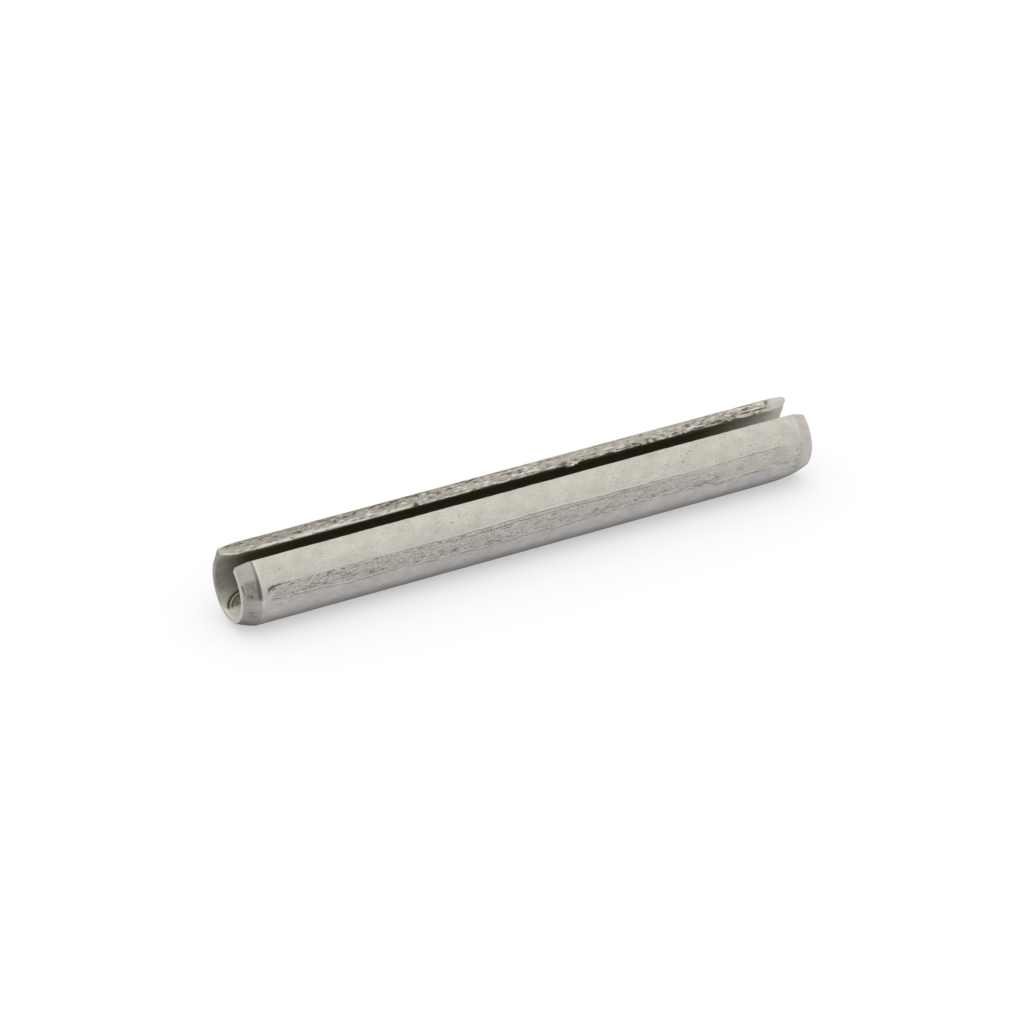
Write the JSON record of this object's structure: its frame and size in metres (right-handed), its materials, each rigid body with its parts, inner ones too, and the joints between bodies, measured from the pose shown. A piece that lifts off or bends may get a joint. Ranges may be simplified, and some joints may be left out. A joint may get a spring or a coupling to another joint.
{
  "type": "spring pin",
  "caption": "Slotted spring pin: a steel strip rolled into an open tube with a full-length slot and a chamfer at each end, lying with its slot up.",
  "frame": {"origin": "on the pin's axis at mid-length", "axes": "+X along the pin's axis, +Z through the middle of the slot, which faces up, +Y across"},
  "size_m": [0.05, 0.0064, 0.006],
  "materials": {
    "spring_steel": "plain spring steel, tumbled to a dull grey sheen, with a rough sheared face along each side of the slot"
  },
  "bodies": {
    "root": {"spring_pin": "spring_steel"}
  },
  "joints": []
}
